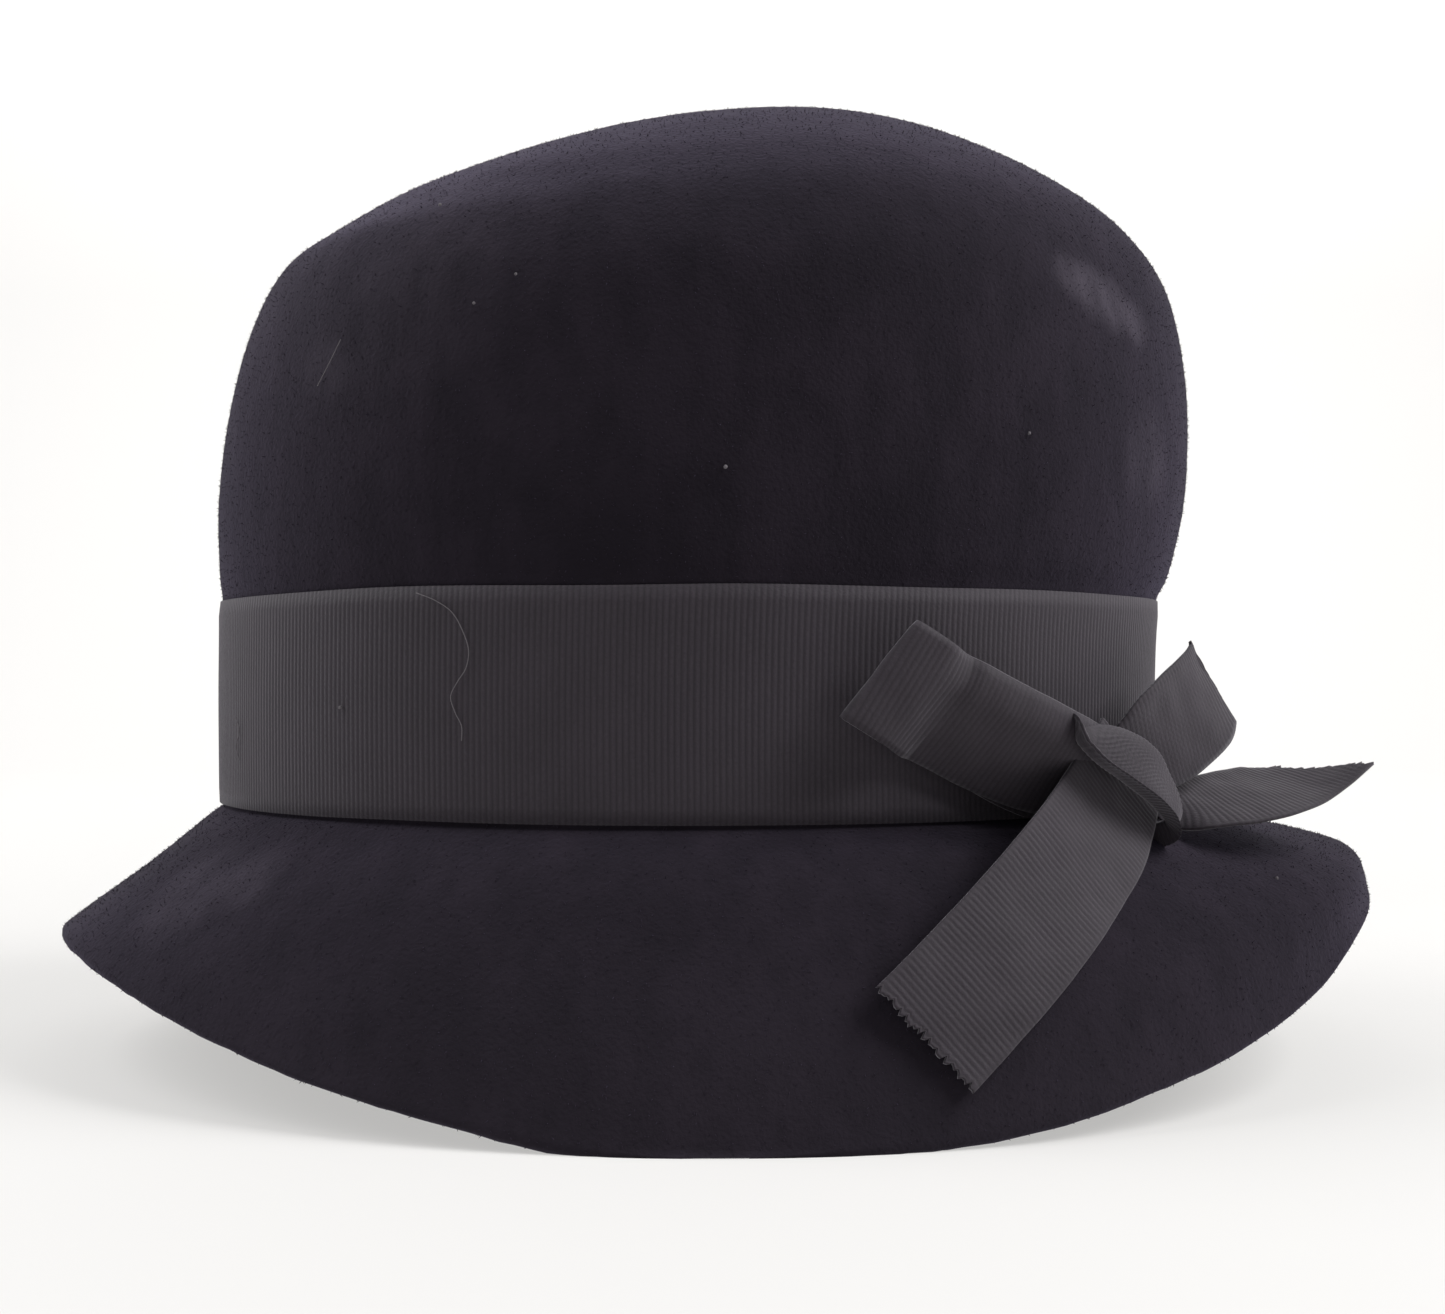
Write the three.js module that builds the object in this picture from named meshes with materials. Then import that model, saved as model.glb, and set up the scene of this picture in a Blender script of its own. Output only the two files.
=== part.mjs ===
import * as THREE from 'three';

// Velour hat with a ribbed ribbon band and a tied bow. Millimetres, Z up.
// The hat rests on its brim at z = 0, with the middle of the brim over the origin.
// Its front points along -X, and the bow is on the wearer's left, toward -Y.

// Felt: crown and brim are one blocked piece
const feltWall = 2.4;
const edgeRound = 0.8;
const crownLength = 187.6;
const crownWidth = 157.6;
const crownHeight = 137;
const crownSetForward = 5.9;
const brimLength = 259.4;
const brimWidth = 213;
const brimLineHeight = 46.8;

// Ribbon: the band round the foot of the crown, and the narrower ribbon of the bow
const bandHeight = 40;
const bandThickness = 1;
const ribbonWidth = 21.5;
const ribbonThickness = 1;
const clearance = 0.3;

// Bow: where its knot sits, in degrees round the crown from the middle of the back and in
// millimetres above the brim line, and how far each loop and tail reaches
const knotTurn = -42.6;
const knotRise = 7.5;
const knotLength = 33;
const knotWidth = 12;
const knotThickness = 2;
const frontLoopReach = 45;
const backLoopReach = 29;
const frontTailReach = 60;
const backTailReach = 45;

// Fineness of the meshes: the last ring of the crown before its top, and the short step over
// which directions are measured
const turnSteps = 64;
const crownRows = 13;
const bandRows = 4;
const brimRows = 9;
const loopSteps = 26;
const tailSteps = 14;
const topRing = 0.97;
const probe = 0.004;

// The crown in rings from the brim line to the top. The ring's half length, its shift toward
// the back and its half width are shares of half the crown's length and width, and its rise
// and its tilt, up at the back, are shares of the crown's height. The last row lies past the
// top on the far side, and only steers the curve over the top.
const CROWN = [
  { at: 0.0, length: 1.0, shift: 0.0, width: 1.0, rise: 0.0, tilt: 0.0 },
  { at: 0.1, length: 1.001, shift: -0.001, width: 1.0, rise: 0.147, tilt: 0.0 },
  { at: 0.21, length: 1.006, shift: 0.004, width: 1.006, rise: 0.293, tilt: 0.0 },
  { at: 0.235, length: 1.021, shift: 0.013, width: 1.016, rise: 0.329, tilt: 0.0 },
  { at: 0.3, length: 1.039, shift: 0.03, width: 1.028, rise: 0.432, tilt: 0.0 },
  { at: 0.41, length: 1.029, shift: 0.047, width: 1.028, rise: 0.577, tilt: 0.0 },
  { at: 0.48, length: 0.998, shift: 0.056, width: 1.01, rise: 0.683, tilt: 0.004 },
  { at: 0.54, length: 0.949, shift: 0.062, width: 0.957, rise: 0.76, tilt: 0.006 },
  { at: 0.585, length: 0.874, shift: 0.06, width: 0.893, rise: 0.81, tilt: 0.019 },
  { at: 0.667, length: 0.731, shift: 0.066, width: 0.76, rise: 0.874, tilt: 0.021 },
  { at: 0.785, length: 0.494, shift: 0.088, width: 0.53, rise: 0.944, tilt: 0.021 },
  { at: 0.87, length: 0.308, shift: 0.094, width: 0.32, rise: 0.976, tilt: 0.013 },
  { at: 1.0, length: 0.0, shift: 0.128, width: 0.0, rise: 1.0, tilt: 0.0 },
  { at: 1.13, length: -0.308, shift: 0.162, width: -0.32, rise: 0.976, tilt: -0.013 },
];

// The brim's section at the front, the side and the back, from the brim line to the edge:
// shares of the way out and of the way down
const BRIM = [
  { at: 0.0, frontOut: 0.0, frontDown: 0.0, sideOut: 0.0, sideDown: 0.0, backOut: 0.0, backDown: 0.0 },
  { at: 0.1, frontOut: 0.1, frontDown: 0.1, sideOut: 0.1, sideDown: 0.04, backOut: 0.1, backDown: 0.03 },
  { at: 0.3, frontOut: 0.3, frontDown: 0.32, sideOut: 0.28, sideDown: 0.13, backOut: 0.32, backDown: 0.09 },
  { at: 0.5, frontOut: 0.5, frontDown: 0.53, sideOut: 0.49, sideDown: 0.28, backOut: 0.57, backDown: 0.26 },
  { at: 0.7, frontOut: 0.7, frontDown: 0.72, sideOut: 0.7, sideDown: 0.49, backOut: 0.8, backDown: 0.41 },
  { at: 0.85, frontOut: 0.86, frontDown: 0.87, sideOut: 0.87, sideDown: 0.72, backOut: 0.955, backDown: 0.59 },
  { at: 1.0, frontOut: 1.0, frontDown: 1.0, sideOut: 1.0, sideDown: 1.0, backOut: 1.0, backDown: 1.0 },
];

// The brim's edge from the front to the back: how far along half the brim's length, and its
// lift as a share of the brim line's height. It is pressed flat where it would dip below 0.
const EDGE = [
  { at: -1.0, lift: 0.519 },
  { at: -0.9, lift: 0.502 },
  { at: -0.8, lift: 0.434 },
  { at: -0.65, lift: 0.318 },
  { at: -0.5, lift: 0.2 },
  { at: -0.3, lift: 0.087 },
  { at: -0.15, lift: 0.005 },
  { at: 0.0, lift: -0.03 },
  { at: 0.19, lift: 0.004 },
  { at: 0.375, lift: 0.06 },
  { at: 0.56, lift: 0.168 },
  { at: 0.7, lift: 0.286 },
  { at: 0.81, lift: 0.417 },
  { at: 0.9, lift: 0.558 },
  { at: 1.0, lift: 0.684 },
];

// The bow's ribbons, a row for each bend. Along the band toward the back, up, and off the
// band are the middle of the ribbon seen from the knot's place, as shares of the piece's
// reach. The three cross columns are the direction from its lower to its upper long edge, and
// wide is the share of the ribbon's width that is left where the knot gathers it.
const FRONT_LOOP = [
  { at: 0.0, along: -0.1, up: 0.02, off: 0.0, crossAlong: 0.6, crossUp: 0.8, crossOff: 0.0, wide: 0.7 },
  { at: 0.12, along: -0.25, up: 0.045, off: 0.0, crossAlong: 0.6, crossUp: 0.8, crossOff: 0.0, wide: 0.85 },
  { at: 0.3, along: -0.6, up: 0.155, off: 0.02, crossAlong: 0.6, crossUp: 0.78, crossOff: 0.1, wide: 0.93 },
  { at: 0.42, along: -0.87, up: 0.315, off: 0.08, crossAlong: 0.6, crossUp: 0.75, crossOff: 0.2, wide: 0.93 },
  { at: 0.5, along: -1.0, up: 0.41, off: 0.16, crossAlong: 0.6, crossUp: 0.75, crossOff: 0.2, wide: 0.93 },
  { at: 0.58, along: -0.86, up: 0.305, off: 0.22, crossAlong: 0.6, crossUp: 0.75, crossOff: 0.2, wide: 0.93 },
  { at: 0.7, along: -0.6, up: 0.155, off: 0.2, crossAlong: 0.6, crossUp: 0.78, crossOff: 0.15, wide: 0.93 },
  { at: 0.88, along: -0.28, up: 0.045, off: 0.14, crossAlong: 0.6, crossUp: 0.8, crossOff: 0.05, wide: 0.85 },
  { at: 1.0, along: -0.1, up: 0.02, off: 0.115, crossAlong: 0.6, crossUp: 0.8, crossOff: 0.0, wide: 0.7 },
];
const BACK_LOOP = [
  { at: 0.0, along: 0.12, up: 0.06, off: 0.14, crossAlong: -0.68, crossUp: 0.73, crossOff: 0.0, wide: 0.6 },
  { at: 0.2, along: 0.36, up: 0.2, off: 0.24, crossAlong: -0.68, crossUp: 0.73, crossOff: -0.05, wide: 0.8 },
  { at: 0.38, along: 0.72, up: 0.43, off: 0.33, crossAlong: -0.64, crossUp: 0.73, crossOff: -0.2, wide: 0.94 },
  { at: 0.5, along: 0.89, up: 0.57, off: 0.4, crossAlong: -0.62, crossUp: 0.73, crossOff: -0.25, wide: 0.94 },
  { at: 0.62, along: 0.74, up: 0.45, off: 0.46, crossAlong: -0.64, crossUp: 0.73, crossOff: -0.2, wide: 0.94 },
  { at: 0.8, along: 0.38, up: 0.21, off: 0.36, crossAlong: -0.68, crossUp: 0.73, crossOff: -0.05, wide: 0.85 },
  { at: 1.0, along: 0.12, up: 0.06, off: 0.26, crossAlong: -0.68, crossUp: 0.73, crossOff: 0.0, wide: 0.7 },
];
const FRONT_TAIL = [
  { at: 0.0, along: -0.03, up: 0.0, off: 0.16, crossAlong: -0.72, crossUp: 0.68, crossOff: -0.1, wide: 0.85 },
  { at: 0.2, along: -0.15, up: -0.09, off: 0.22, crossAlong: -0.68, crossUp: 0.7, crossOff: -0.22, wide: 0.97 },
  { at: 0.5, along: -0.41, up: -0.29, off: 0.32, crossAlong: -0.6, crossUp: 0.76, crossOff: -0.25, wide: 1.0 },
  { at: 0.8, along: -0.64, up: -0.5, off: 0.39, crossAlong: -0.58, crossUp: 0.8, crossOff: -0.25, wide: 1.0 },
  { at: 1.0, along: -0.745, up: -0.625, off: 0.43, crossAlong: -0.66, crossUp: 0.75, crossOff: -0.28, wide: 1.0 },
];
const BACK_TAIL = [
  { at: 0.0, along: 0.24, up: -0.14, off: 0.13, crossAlong: 0.1, crossUp: 0.6, crossOff: -0.8, wide: 0.45 },
  { at: 0.3, along: 0.38, up: -0.12, off: 0.26, crossAlong: 0.35, crossUp: 0.45, crossOff: -0.8, wide: 0.7 },
  { at: 0.6, along: 0.57, up: -0.085, off: 0.42, crossAlong: 0.48, crossUp: 0.36, crossOff: -0.78, wide: 0.93 },
  { at: 0.85, along: 0.73, up: -0.04, off: 0.54, crossAlong: 0.35, crossUp: 0.2, crossOff: -0.9, wide: 0.93 },
  { at: 1.0, along: 0.81, up: 0.01, off: 0.62, crossAlong: 0.11, crossUp: -0.07, crossOff: -0.99, wide: 0.93 },
];
const KNOT = [
  { at: 0.0, along: -0.29, up: 0.31, off: 0.34, crossAlong: 0.62, crossUp: 0.78, crossOff: 0.0, wide: 0.9 },
  { at: 0.25, along: -0.17, up: 0.2, off: 0.38, crossAlong: 0.62, crossUp: 0.78, crossOff: 0.0, wide: 1.0 },
  { at: 0.5, along: 0.04, up: 0.03, off: 0.41, crossAlong: 0.62, crossUp: 0.78, crossOff: 0.0, wide: 1.0 },
  { at: 0.75, along: 0.24, up: -0.13, off: 0.41, crossAlong: 0.62, crossUp: 0.78, crossOff: 0.0, wide: 1.0 },
  { at: 1.0, along: 0.35, up: -0.23, off: 0.38, crossAlong: 0.62, crossUp: 0.78, crossOff: 0.0, wide: 0.8 },
];

const feltMaterial = new THREE.MeshStandardMaterial({ color: '#1b171e', roughness: 0.95, metalness: 0 });
const ribbonMaterial = new THREE.MeshStandardMaterial({ color: '#38343a', roughness: 0.75, metalness: 0 });

// A smooth curve through one column of a table, read at any place along its column at
function smooth(rows, column, at) {
  let i = 0;
  while (i < rows.length - 2 && at > rows[i + 1].at) i += 1;
  const slope = (j) => {
    const before = rows[Math.max(j - 1, 0)];
    const after = rows[Math.min(j + 1, rows.length - 1)];
    return (after[column] - before[column]) / (after.at - before.at);
  };
  const span = rows[i + 1].at - rows[i].at;
  const t = (at - rows[i].at) / span;
  const start = rows[i][column] * (1 + 2 * t) * (1 - t) ** 2 + slope(i) * span * t * (1 - t) ** 2;
  const end = rows[i + 1][column] * t * t * (3 - 2 * t) + slope(i + 1) * span * t * t * (t - 1);
  return start + end;
}

// A point on the outside of the crown: at goes from the brim line to the top
function crownPoint(at, turn) {
  const rise = smooth(CROWN, 'rise', at) + smooth(CROWN, 'tilt', at) * Math.cos(turn);
  const along = smooth(CROWN, 'shift', at) + smooth(CROWN, 'length', at) * Math.cos(turn);
  const across = smooth(CROWN, 'width', at) * Math.sin(turn);
  return new THREE.Vector3(
    (along * crownLength) / 2 - crownSetForward,
    (across * crownWidth) / 2,
    brimLineHeight + rise * crownHeight,
  );
}

// A point on the outside of the brim: at goes from the brim line to the edge
function brimPoint(at, turn) {
  const root = crownPoint(0, turn);
  const along = Math.cos(turn);
  const across = Math.sin(turn);
  const edge = new THREE.Vector3(
    (along * brimLength) / 2,
    (across * brimWidth) / 2,
    smooth(EDGE, 'lift', along) * brimLineHeight,
  );
  const blend = (share) => {
    const end = smooth(BRIM, (along < 0 ? 'front' : 'back') + share, at);
    return end * along ** 2 + smooth(BRIM, 'side' + share, at) * across ** 2;
  };
  const out = blend('Out');
  return new THREE.Vector3(
    THREE.MathUtils.lerp(root.x, edge.x, out),
    THREE.MathUtils.lerp(root.y, edge.y, out),
    THREE.MathUtils.lerp(root.z, edge.z, blend('Down')),
  );
}

// The outside of the hat from the edge (place -1) over the brim line (0) to the top (1)
function hatPoint(place, turn) {
  return place < 0 ? brimPoint(-place, turn) : crownPoint(place, turn);
}

// The outward normal of the hat's outside
function hatNormal(place, turn) {
  const low = Math.max(place - probe, -1);
  const high = Math.min(place + probe, 1 - probe);
  const up = hatPoint(high, turn).sub(hatPoint(low, turn));
  const round = hatPoint(low, turn + probe).sub(hatPoint(low, turn - probe));
  return round.cross(up).normalize();
}

// One closed mesh from rings of points, closed by a point at each end or joined to a tube
function ringMesh(rings, closure) {
  const positions = [];
  const faces = [];
  const count = rings[0].length;
  for (const ring of rings) {
    for (const p of ring) positions.push(p.x, p.y, p.z);
  }
  const joins = closure.loop ? rings.length : rings.length - 1;
  for (let r = 0; r < joins; r += 1) {
    for (let k = 0; k < count; k += 1) {
      const a = r * count + k;
      const b = r * count + ((k + 1) % count);
      const c = ((r + 1) % rings.length) * count + ((k + 1) % count);
      const d = ((r + 1) % rings.length) * count + k;
      faces.push(a, c, b, a, d, c);
    }
  }
  if (!closure.loop) {
    const first = positions.length / 3;
    positions.push(...closure.start.toArray(), ...closure.end.toArray());
    const lastRing = (rings.length - 1) * count;
    for (let k = 0; k < count; k += 1) {
      faces.push(first, k, (k + 1) % count);
      faces.push(first + 1, lastRing + ((k + 1) % count), lastRing + k);
    }
  }
  const geometry = new THREE.BufferGeometry();
  geometry.setAttribute('position', new THREE.Float32BufferAttribute(positions, 3));
  geometry.setIndex(faces);
  geometry.computeVertexNormals();
  return geometry;
}

// One ring of points round the crown
function ringOf(pointAt) {
  return Array.from({ length: turnSteps }, (_, k) => pointAt((2 * Math.PI * k) / turnSteps));
}

// Felt pressed flat where it rests
function rested(point) {
  point.z = Math.max(point.z, 0);
  return point;
}

// Crown and brim: the outside, the rounded edge, and the inside one wall further in
function feltBody() {
  const bandTop = placeAtHeight(bandHeight);
  const places = [];
  for (let r = 0; r < crownRows; r += 1) places.push(topRing + ((bandTop - topRing) * r) / crownRows);
  for (let r = 0; r < bandRows; r += 1) places.push(placeAtHeight(bandHeight * (1 - r / bandRows)));
  for (let r = 0; r <= brimRows; r += 1) places.push(-r / brimRows);
  const inside = (place, turn, depth) =>
    rested(hatPoint(place, turn).addScaledVector(hatNormal(place, turn), -depth));
  const rings = places.map((place) => ringOf((turn) => rested(hatPoint(place, turn))));
  rings.push(ringOf((turn) => {
    const fall = hatPoint(-1, turn).sub(hatPoint(probe - 1, turn)).setLength(edgeRound);
    return rested(inside(-1, turn, feltWall / 2).add(fall));
  }));
  for (const place of [...places].reverse()) {
    rings.push(ringOf((turn) => inside(place, turn, feltWall)));
  }
  const top = crownPoint(1, 0);
  const underTop = top.clone().sub(new THREE.Vector3(0, 0, feltWall));
  return ringMesh(rings, { start: top, end: underTop });
}

// The crown's place at a height above the brim line, found by halving
function placeAtHeight(height) {
  const halvings = 20;
  let low = 0;
  let high = 1;
  for (let i = 0; i < halvings; i += 1) {
    const middle = (low + high) / 2;
    if (smooth(CROWN, 'rise', middle) * crownHeight < height) low = middle;
    else high = middle;
  }
  return low;
}

// The direction straight out from the crown, level with the table
function outward(turn) {
  const across = Math.sin(turn) / crownWidth;
  const along = Math.cos(turn) / crownLength;
  return new THREE.Vector3(along, across, 0).normalize();
}

// A point above the brim line and off the band's outer face; below the brim line the band's
// foot carries on straight down
function bandPoint(up, turn, off) {
  const point = crownPoint(placeAtHeight(Math.max(up, 0)), turn);
  point.addScaledVector(outward(turn), clearance + bandThickness + off);
  point.z = brimLineHeight + up;
  return point;
}

// The band: a closed ring that stands just clear of the brim and the crown
function hatband() {
  const heights = [clearance, bandHeight / 2, bandHeight];
  const outer = heights.map((up) => ringOf((turn) => bandPoint(up, turn, 0)));
  const inner = heights.map((up) => ringOf((turn) => bandPoint(up, turn, -bandThickness)));
  return ringMesh([...inner, ...outer.reverse()], { loop: true });
}

// The turn round the crown at a distance along the band from the knot
const bandOval = new THREE.EllipseCurve(0, 0, crownLength / 2, crownWidth / 2, 0, 2 * Math.PI);
const bandLengths = bandOval.getLengths();
const knotDistance = bandLengths[Math.round((1 + knotTurn / 360) * (bandLengths.length - 1))];
function turnAt(along) {
  return bandOval.getUtoTmapping(0, knotDistance + along) * 2 * Math.PI;
}

// The middle of a bow ribbon and its cross direction at one place along its table
function ribbonPlace(rows, reach, at) {
  const turn = turnAt(smooth(rows, 'along', at) * reach);
  const off = clearance + ribbonThickness / 2 + smooth(rows, 'off', at) * reach;
  const middle = bandPoint(knotRise + smooth(rows, 'up', at) * reach, turn, off);
  const out = outward(turn);
  const cross = new THREE.Vector3(-out.y, out.x, 0).multiplyScalar(smooth(rows, 'crossAlong', at));
  cross.addScaledVector(out, smooth(rows, 'crossOff', at));
  cross.z = smooth(rows, 'crossUp', at);
  return { middle, cross: cross.normalize() };
}

// A strip of ribbon through its table: it keeps its width square to its path
function ribbon(rows, reach, width, thickness, steps) {
  const rings = [];
  for (let r = 0; r <= steps; r += 1) {
    const at = r / steps;
    const { middle, cross } = ribbonPlace(rows, reach, at);
    const before = ribbonPlace(rows, reach, Math.max(at - probe, 0)).middle;
    const path = ribbonPlace(rows, reach, Math.min(at + probe, 1)).middle.sub(before).normalize();
    const square = cross.clone().addScaledVector(path, -cross.dot(path)).length();
    const half = cross.clone().multiplyScalar((width * smooth(rows, 'wide', at)) / 2 / square);
    const face = cross.clone().cross(path).setLength(thickness / 2);
    rings.push([
      middle.clone().add(half).add(face),
      middle.clone().add(face),
      middle.clone().sub(half).add(face),
      middle.clone().sub(half).sub(face),
      middle.clone().sub(face),
      middle.clone().add(half).sub(face),
    ]);
  }
  const centre = (ring) => ring[1].clone().add(ring[4]).divideScalar(2);
  return ringMesh(rings, { start: centre(rings[0]), end: centre(rings[steps]) });
}

function bowRibbon(rows, reach, steps) {
  return ribbon(rows, reach, ribbonWidth, ribbonThickness, steps);
}

function piece(name, geometry, material) {
  const mesh = new THREE.Mesh(geometry, material);
  mesh.name = name;
  return mesh;
}

const hat = new THREE.Group();
hat.add(piece('felt_body', feltBody(), feltMaterial));
hat.add(piece('hatband', hatband(), ribbonMaterial));
hat.add(piece('bow_loop_front', bowRibbon(FRONT_LOOP, frontLoopReach, loopSteps), ribbonMaterial));
hat.add(piece('bow_loop_back', bowRibbon(BACK_LOOP, backLoopReach, loopSteps), ribbonMaterial));
hat.add(piece('bow_tail_front', bowRibbon(FRONT_TAIL, frontTailReach, tailSteps), ribbonMaterial));
hat.add(piece('bow_tail_back', bowRibbon(BACK_TAIL, backTailReach, tailSteps), ribbonMaterial));
const knot = ribbon(KNOT, knotLength, knotWidth, knotThickness, tailSteps);
hat.add(piece('bow_knot', knot, ribbonMaterial));

export default hat;
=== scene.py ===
"""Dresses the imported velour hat: felt with its nap, ribbed ribbon band and tied bow, in metres."""

import math

import bpy
import numpy as np
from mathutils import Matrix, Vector, noise


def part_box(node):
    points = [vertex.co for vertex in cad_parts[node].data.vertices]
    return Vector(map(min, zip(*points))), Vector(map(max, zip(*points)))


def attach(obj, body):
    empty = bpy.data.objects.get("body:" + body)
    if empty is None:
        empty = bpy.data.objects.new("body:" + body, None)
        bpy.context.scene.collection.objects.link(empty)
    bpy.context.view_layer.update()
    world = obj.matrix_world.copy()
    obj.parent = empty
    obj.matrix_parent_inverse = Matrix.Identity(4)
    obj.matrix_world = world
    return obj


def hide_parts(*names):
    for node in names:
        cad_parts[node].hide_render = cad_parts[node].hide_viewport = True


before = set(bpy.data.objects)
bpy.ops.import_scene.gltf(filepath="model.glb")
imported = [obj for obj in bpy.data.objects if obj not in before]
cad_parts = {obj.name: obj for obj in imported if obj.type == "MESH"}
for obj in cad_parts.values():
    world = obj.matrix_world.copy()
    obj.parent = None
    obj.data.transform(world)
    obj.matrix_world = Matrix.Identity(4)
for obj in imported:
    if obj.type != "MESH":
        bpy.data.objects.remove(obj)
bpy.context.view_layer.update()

bl_info = {
    "name": "Velour hat",
    "version": (1, 0, 0),
    "blender": (4, 5, 0),
    "location": "View3D > Sidebar > Hat",
    "description": "Makes a velour hat with a ribbed ribbon band and a tied bow",
    "category": "Object",
}

FELT_LOW, FELT_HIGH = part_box("felt_body")
BRIM_LINE = 0.0468
# The step on a surface or a path that a direction is taken from
PROBE = 0.004
# The crown's top ring, which a cap closes
TOP_RING = 0.985
# Steps of mesh to one woven rib, and where the bow's ribs are counted from
RIB_STEPS = 5
RIB_START = 0.01
# Nap fibres to a square metre, and how far they lean, in radians
NAP_DENSITY = 520000.0
NAP_LEAN = 1.15
NAP_SEED = 11


def linear(text):
    """An sRGB hex colour as the linear numbers that the shaders take"""
    parts = [int(text[i:i + 2], 16) / 255 for i in (1, 3, 5)]
    return [p / 12.92 if p <= 0.04045 else ((p + 0.055) / 1.055) ** 2.4 for p in parts]


def length_property(name, description, default):
    return bpy.props.FloatProperty(
        name=name, description=description, default=default, unit="LENGTH", precision=5)


def colour_property(name, description, text):
    return bpy.props.FloatVectorProperty(
        name=name, description=description, default=linear(text), subtype="COLOR",
        size=3, min=0, max=1)


class HatSizes(bpy.types.PropertyGroup):
    """Sizes of the felt and the ribbons"""
    brim_length: length_property(
        "Brim length", "Front edge to back edge of the brim", FELT_HIGH.x - FELT_LOW.x)
    brim_width: length_property(
        "Brim width", "Side edge to side edge of the brim", FELT_HIGH.y - FELT_LOW.y)
    brim_line: length_property(
        "Brim line", "Height at which the brim leaves the crown", BRIM_LINE)
    crown_height: length_property(
        "Crown height", "Brim line to the top", FELT_HIGH.z - BRIM_LINE)
    crown_length: length_property("Crown length", "Crown at the brim line, front to back", 0.1876)
    crown_width: length_property("Crown width", "Crown at the brim line, side to side", 0.1576)
    crown_forward: length_property("Crown forward", "How far the crown sits forward", 0.0059)
    felt_wall: length_property("Felt thickness", "Wall of the blocked felt", 0.0024)
    nap_length: length_property("Nap length", "Longest fibres of the raised nap", 0.0006)
    nap_width: length_property("Nap fibre width", "Foot of one tuft of the nap", 0.0001)
    band_height: length_property("Band height", "Width of the ribbon round the crown", 0.04)
    band_stand: length_property("Band stand", "Clear space the bow is set out from", 0.0013)
    ribbon_width: length_property("Ribbon width", "Width of the bow's ribbon", 0.0215)
    ribbon_thickness: length_property("Ribbon thickness", "Thickness of the ribbons", 0.0006)
    rib_pitch: length_property("Rib pitch", "Distance from one woven rib to the next", 0.00105)
    rib_depth: length_property("Rib depth", "Height of a woven rib", 0.00012)
    knot_width: length_property("Knot width", "Width of the strap that ties the bow", 0.0125)
    knot_thickness: length_property("Knot thickness", "Thickness of the gathered strap", 0.0026)
    knot_rise: length_property("Knot rise", "Height of the knot above the brim line", 0.0075)
    knot_turn: bpy.props.FloatProperty(
        name="Knot turn", description="Knot's place round the crown from the middle of the back",
        default=math.radians(-42.6), unit="ROTATION")


class HatColours(bpy.types.PropertyGroup):
    """Colours of the felt, the ribbons and the stage"""
    felt_deep: colour_property("Felt, deep", "Felt between the fibres", "#18141a")
    felt_raised: colour_property("Felt, raised", "Felt on the raised nap", "#201b22")
    # The paler felt also carries a painted sheen on the crown and painted light at the brim's foot
    felt_rubbed_and_lit: colour_property("Felt, rubbed", "Felt where the nap is worn", "#454048")
    nap_fibre: colour_property("Nap fibre", "Single fibres of the raised nap", "#241f26")
    felt_sheen: colour_property("Felt sheen", "Tint of the nap seen along the surface", "#8d84a3")
    # The grooves' darker colour is painted shade between the ribs
    ribbon_groove_shade: colour_property("Ribbon, grooves", "Ribbon between its ribs", "#252126")
    ribbon_rib: colour_property("Ribbon, ribs", "Ribbon on its ribs", "#39333a")
    ribbon_sheen: colour_property("Ribbon sheen", "Tint of the threads' sheen", "#e7e4ec")
    lint: colour_property("Lint", "Lint and loose hairs", "#666266")
    paper: colour_property("Paper", "Floor and backdrop in the light", "#9e9d9c")
    paper_glow: colour_property("Paper glow", "What the paper adds to its light", "#fbfaf8")


def table(names, *rows):
    """A short table by its columns' names"""
    return {name: np.array(column, float) for name, column in zip(names.split(), zip(*rows))}


# The crown in rings from the brim line to the top: shares of half its length and width, and
# of its height. The last row only steers the curve over the top.
CROWN = table(
    "at length shift width rise tilt",
    (0.0, 1.0, 0.0, 1.0, 0.0, 0.0),
    (0.1, 1.001, -0.001, 1.0, 0.147, 0.0),
    (0.21, 1.006, 0.004, 1.006, 0.293, 0.0),
    (0.235, 1.021, 0.013, 1.016, 0.329, 0.0),
    (0.3, 1.039, 0.03, 1.028, 0.432, 0.0),
    (0.41, 1.029, 0.047, 1.028, 0.577, 0.0),
    (0.48, 0.998, 0.056, 1.01, 0.683, 0.004),
    (0.54, 0.949, 0.062, 0.957, 0.76, 0.006),
    (0.585, 0.874, 0.06, 0.893, 0.81, 0.019),
    (0.667, 0.731, 0.066, 0.76, 0.874, 0.021),
    (0.785, 0.494, 0.088, 0.53, 0.944, 0.021),
    (0.87, 0.308, 0.094, 0.32, 0.976, 0.013),
    (1.0, 0.0, 0.128, 0.0, 1.0, 0.0),
    (1.13, -0.308, 0.162, -0.32, 0.976, -0.013),
)
# The brim's section at the front, side and back: shares of the way out and of the way down
BRIM = table(
    "at front_out front_down side_out side_down back_out back_down",
    (0.0, 0.0, 0.0, 0.0, 0.0, 0.0, 0.0),
    (0.1, 0.1, 0.1, 0.1, 0.04, 0.1, 0.03),
    (0.3, 0.3, 0.32, 0.28, 0.13, 0.32, 0.09),
    (0.5, 0.5, 0.53, 0.49, 0.28, 0.57, 0.26),
    (0.7, 0.7, 0.72, 0.7, 0.49, 0.8, 0.41),
    (0.85, 0.86, 0.87, 0.87, 0.72, 0.955, 0.59),
    (1.0, 1.0, 1.0, 1.0, 1.0, 1.0, 1.0),
)
# The brim edge's lift from the front to the back, as a share of the brim line's height
EDGE = table(
    "at lift",
    (-1.0, 0.519), (-0.9, 0.502), (-0.8, 0.434), (-0.65, 0.318), (-0.5, 0.2), (-0.3, 0.087),
    (-0.15, 0.005), (0.0, -0.03), (0.19, 0.004), (0.375, 0.06), (0.56, 0.168), (0.7, 0.286),
    (0.81, 0.417), (0.9, 0.558), (1.0, 0.684),
)
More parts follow.
